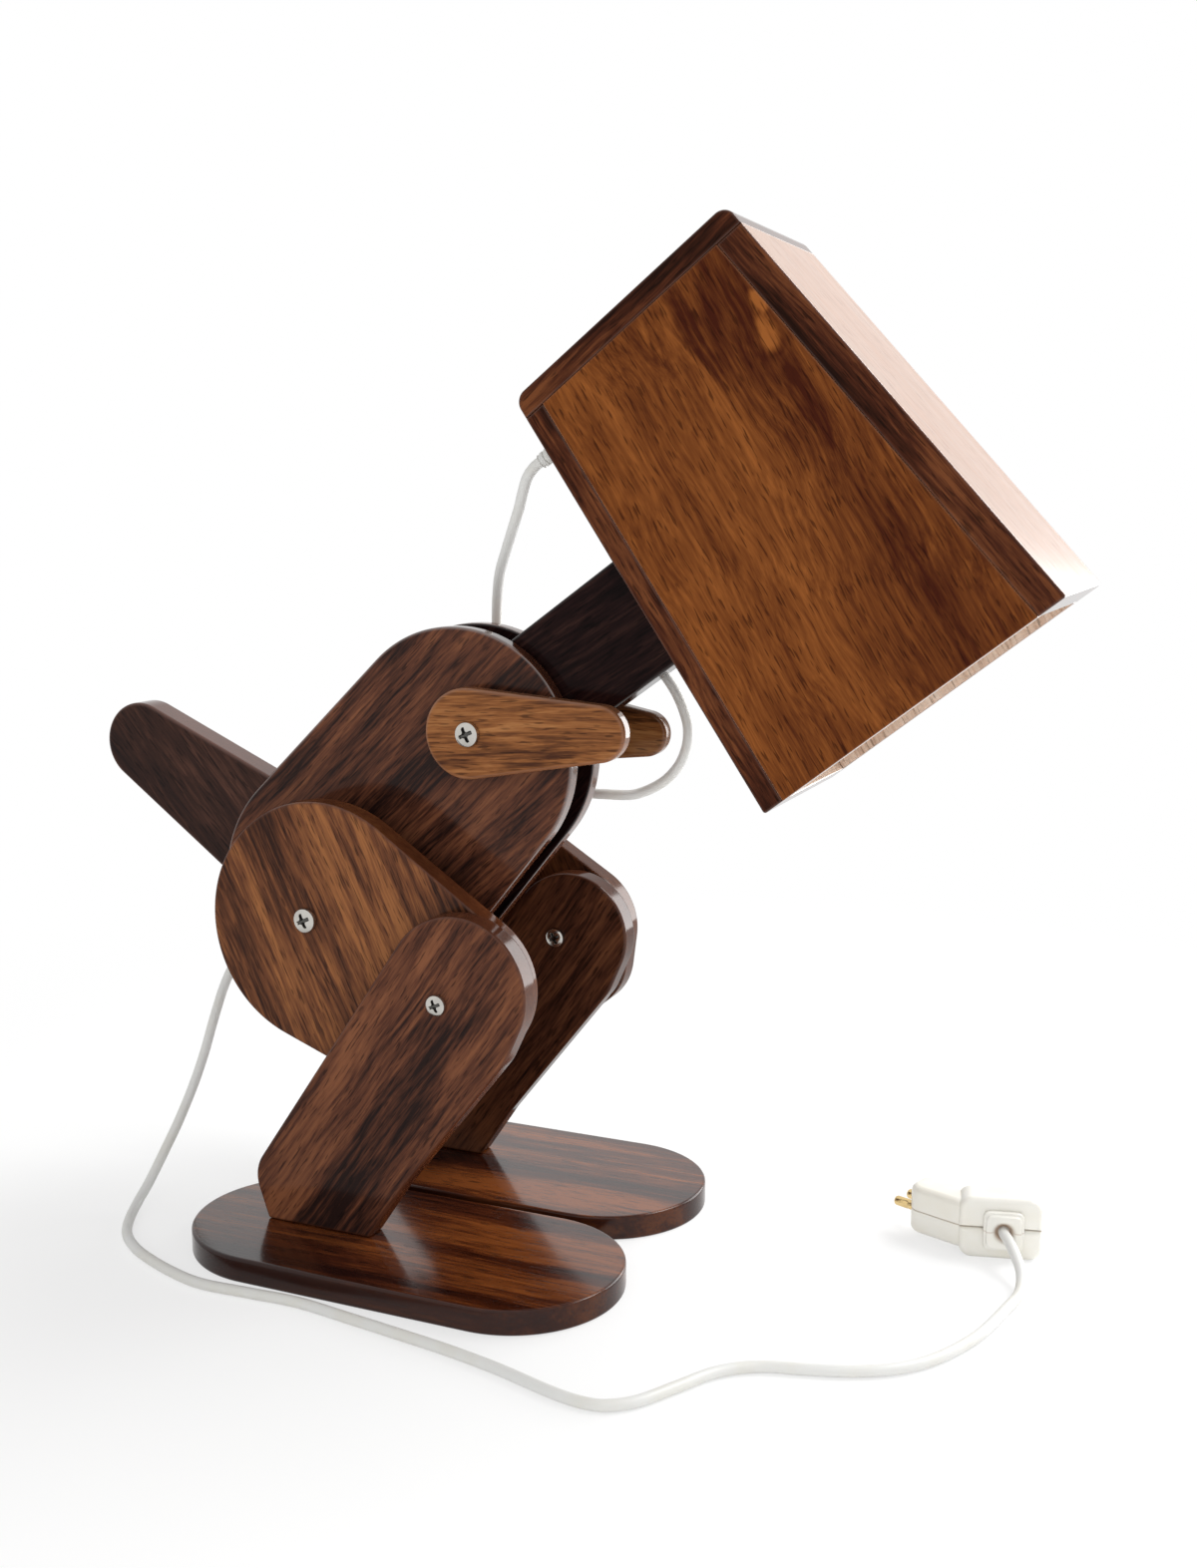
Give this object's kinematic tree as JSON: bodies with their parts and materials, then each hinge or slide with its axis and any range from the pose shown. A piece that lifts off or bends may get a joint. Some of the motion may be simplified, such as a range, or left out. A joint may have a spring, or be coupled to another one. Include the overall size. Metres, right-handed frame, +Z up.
{
  "type": "desk lamp",
  "caption": "Desk lamp shaped like a walking dinosaur, made of flat wooden boards on through bolts, with an open box head as its shade and a white mains lead.",
  "frame": {"origin": "on the table under the middle of the lamp's length and width, its lead left out", "axes": "+X towards the mouth of the head, +Y to the lamp's own left, +Z up"},
  "size_m": [0.4894, 0.2457, 0.469],
  "materials": {
    "rosewood": "glossy varnish over dark red-brown wood with darker streaks",
    "figured_wood": "glossy varnish over orange-brown figured wood",
    "shade_rosewood": "glossy varnish over dark brown wood",
    "shade_panel": "glossy varnish over warm honey-brown figured wood",
    "ebonised_wood": "glossy varnish over nearly black wood",
    "walnut": "satin varnish over lighter brown wood",
    "chrome": "polished",
    "steel": "bright zinc",
    "holder_white": "glossy white",
    "brass": "plain",
    "bulb_glass": "frosted white",
    "white_lead": "smooth soft white",
    "white_plug": "glossy white"
  },
  "bodies": {
    "torso": {"torso_plate_right": "rosewood", "torso_plate_left": "rosewood", "shoulder_bolt": "chrome", "shoulder_nut": "chrome", "shoulder_washers": "chrome", "arm_bush_right": "ebonised_wood", "arm_bush_left": "ebonised_wood", "hip_bolt": "chrome", "hip_nut": "chrome", "hip_washers": "chrome", "hip_spacer_right": "ebonised_wood", "hip_spacer_left": "ebonised_wood", "cord_head": "white_lead", "cord_loop": "white_lead", "cord_drop": "white_lead", "cord_floor": "white_lead", "plug_lower_half": "white_plug", "plug_upper_half": "white_plug", "plug_collar": "white_plug", "plug_pins": "brass"},
    "head": {"neck": "ebonised_wood", "neck_screws": "steel", "shade_top": "shade_rosewood", "shade_back": "shade_rosewood", "shade_jaw": "shade_rosewood", "shade_side_right": "shade_panel", "shade_side_left": "shade_panel", "lamp_holder_foot": "holder_white", "lamp_holder_skirt": "holder_white", "lamp_holder_contact": "brass", "holder_screws": "steel", "bulb_globe": "bulb_glass", "bulb_cap": "steel", "cord_relief": "white_lead", "holder_lead": "white_lead"},
    "tail": {"tail": "ebonised_wood"},
    "right_arm": {"arm_right": "walnut"},
    "left_arm": {"arm_left": "walnut"},
    "right_thigh": {"thigh_right": "figured_wood"},
    "left_thigh": {"thigh_left": "figured_wood"},
    "right_lower_leg": {"shin_right": "rosewood", "foot_right": "rosewood", "foot_screws_right": "steel", "knee_bolt_right": "chrome", "knee_nut_right": "chrome", "knee_washer_right": "chrome"},
    "left_lower_leg": {"shin_left": "rosewood", "foot_left": "rosewood", "foot_screws_left": "steel", "knee_bolt_left": "chrome", "knee_nut_left": "chrome", "knee_washer_left": "chrome"}
  },
  "joints": [
    {"name": "neck_tilt", "type": "hinge", "parent": "torso", "child": "head", "pos_m": [-0.02166, 0, 0.25033], "axis": [0, 1, 0], "range_deg": [-25, 25], "deforming": ["cord_head"]},
    {"name": "right_arm_swing", "type": "hinge", "parent": "torso", "child": "right_arm", "pos_m": [-0.02166, -0.025, 0.25033], "axis": [0, 1, 0], "range_deg": [-60, 110]},
    {"name": "left_arm_swing", "type": "hinge", "parent": "torso", "child": "left_arm", "pos_m": [-0.02166, 0.025, 0.25033], "axis": [0, 1, 0], "range_deg": [-60, 110]},
    {"name": "tail_swing", "type": "hinge", "parent": "torso", "child": "tail", "pos_m": [-0.10007, 0, 0.15949], "axis": [0, 1, 0], "range_deg": [-20, 20]},
    {"name": "right_hip", "type": "hinge", "parent": "torso", "child": "right_thigh", "pos_m": [-0.10007, -0.0408, 0.15949], "axis": [0, 1, 0], "range_deg": [-20, 6]},
    {"name": "left_hip", "type": "hinge", "parent": "torso", "child": "left_thigh", "pos_m": [-0.10007, 0.0727, 0.15949], "axis": [0, 1, 0], "range_deg": [-20, 6]},
    {"name": "right_knee", "type": "hinge", "parent": "right_thigh", "child": "right_lower_leg", "pos_m": [-0.02294, -0.0474, 0.1308], "axis": [0, -1, 0], "range_deg": [-6, 25]},
    {"name": "left_knee", "type": "hinge", "parent": "left_thigh", "child": "left_lower_leg", "pos_m": [-0.01644, 0.0661, 0.1357], "axis": [0, -1, 0], "range_deg": [-6, 25]}
  ]
}
